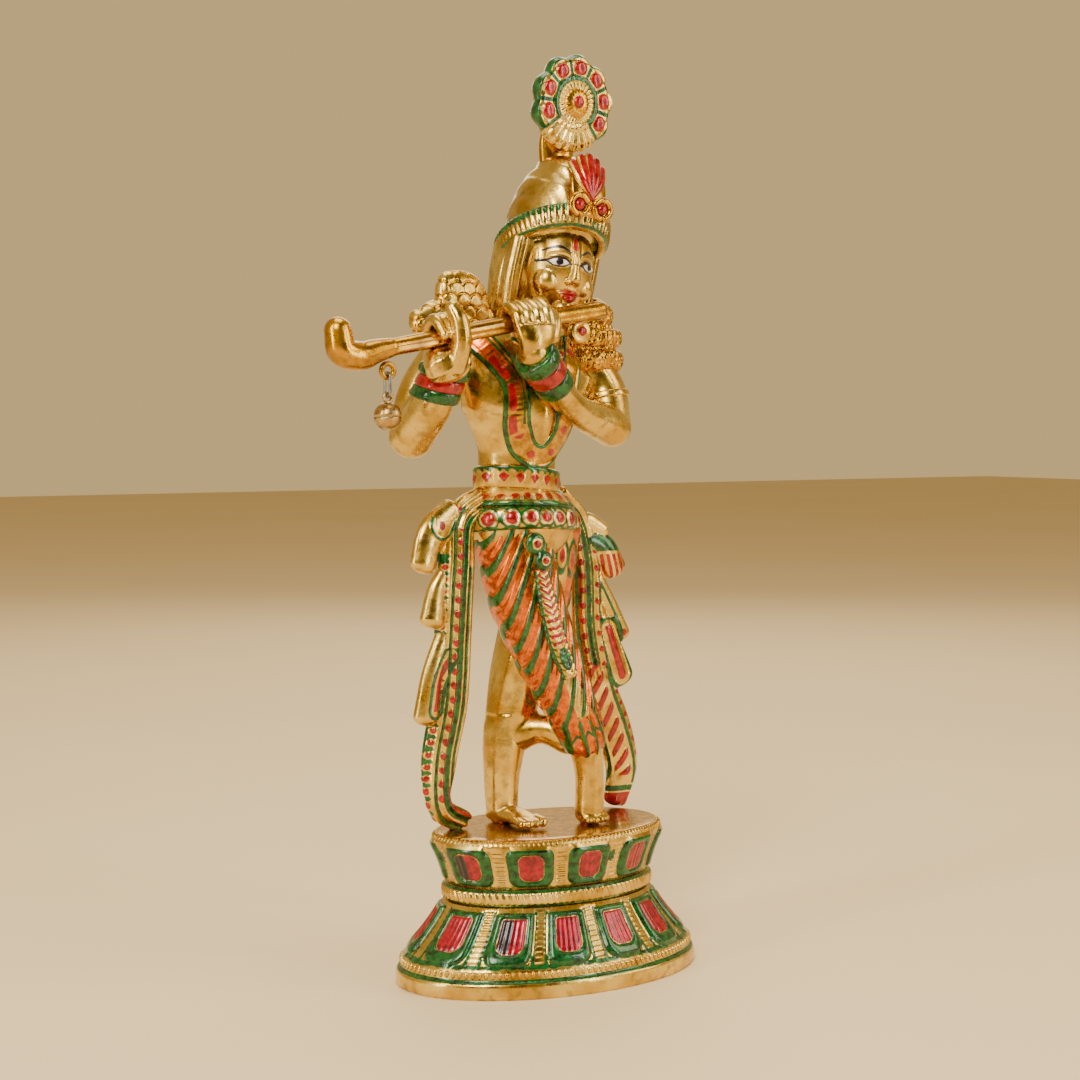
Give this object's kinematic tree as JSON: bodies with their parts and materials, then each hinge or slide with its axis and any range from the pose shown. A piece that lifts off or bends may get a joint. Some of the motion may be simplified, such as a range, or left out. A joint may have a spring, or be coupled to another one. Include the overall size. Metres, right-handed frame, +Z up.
{
  "type": "hindu deity statue",
  "caption": "Gilded cast figure of a standing flute player on an oval lotus pedestal, with enamelled dress, a feather crown and a small jingle bell hanging from the flute.",
  "frame": {"origin": "bottom centre of the whole piece's bounding box, on the plane that the pedestal stands on; the pedestal's own axis is offset in +X, because the flute reaches past it in -X", "axes": "+Z up, the figure faces -Y, and its flute points to -X, the figure's right"},
  "size_m": [0.1427, 0.07, 0.2995],
  "materials": {
    "gilt": "cast, gold plated and clear lacquered, polished high spots",
    "amber": "cast, gold plated under an amber lacquer, glossy",
    "green": "hand-brushed green enamel over gold plate, glossy",
    "red": "hand-brushed crimson enamel over gold plate, glossy",
    "orange": "hand-brushed orange enamel over gold plate, glossy",
    "brass": "stamped sheet brass, lightly tarnished",
    "steel": "bright drawn wire and plated screws"
  },
  "bodies": {
    "statue": {"feather_medallion_boss": "amber", "feather_medallion": "gilt", "feather_stem": "gilt", "crown_crest": "red", "crown_band": "green", "head": "gilt", "right_side_lock": "gilt", "left_side_lock": "gilt", "crown": "gilt", "hair_knot": "gilt", "flute": "amber", "flute_finial": "amber", "right_hand": "gilt", "left_hand": "gilt", "bell_lug": "amber", "right_plain_bangle": "green", "right_red_bangle": "red", "right_beaded_bangle": "green", "left_plain_bangle": "green", "left_red_bangle": "red", "left_beaded_bangle": "green", "left_armlet": "gilt", "right_arm": "gilt", "left_arm": "gilt", "shoulder_brooch": "red", "right_shawl_end": "gilt", "left_shawl_end": "gilt", "collar_necklace": "red", "long_garland": "orange", "neck": "gilt", "torso": "gilt", "waist_sash": "red", "upper_girdle": "green", "lower_girdle": "gilt", "girdle_knot": "green", "front_sash": "red", "front_leg_cloth": "orange", "right_streamer": "gilt", "left_streamer": "gilt", "hips": "gilt", "rear_leg_cloth": "gilt", "standing_leg_screw": "steel", "standing_leg_washer": "steel", "crossed_leg_screw": "steel", "crossed_leg_washer": "steel", "standing_leg": "gilt", "crossed_leg": "gilt", "pedestal_upper_tier": "gilt", "pedestal_neck_band": "gilt", "pedestal_lower_tier": "gilt"},
    "link": {"bell_wire_link": "steel"},
    "bell": {"bell_shank_loop": "brass", "bell_upper_shell": "brass", "bell_lower_shell": "brass"},
    "pellet": {"bell_pellet": "steel"}
  },
  "joints": [
    {"name": "link_swing", "type": "hinge", "parent": "statue", "child": "link", "pos_m": [-0.04997, -0.0176, 0.19522], "axis": [1, 0, 0], "range_deg": [-45, 45]},
    {"name": "bell_swing", "type": "hinge", "parent": "link", "child": "bell", "pos_m": [-0.04997, -0.0176, 0.18932], "axis": [0, 1, 0], "range_deg": [-50, 50]},
    {"name": "pellet_rattle", "type": "slide", "parent": "bell", "child": "pellet", "axis": [0, 0, 1], "range_m": [0, 0.004]}
  ]
}
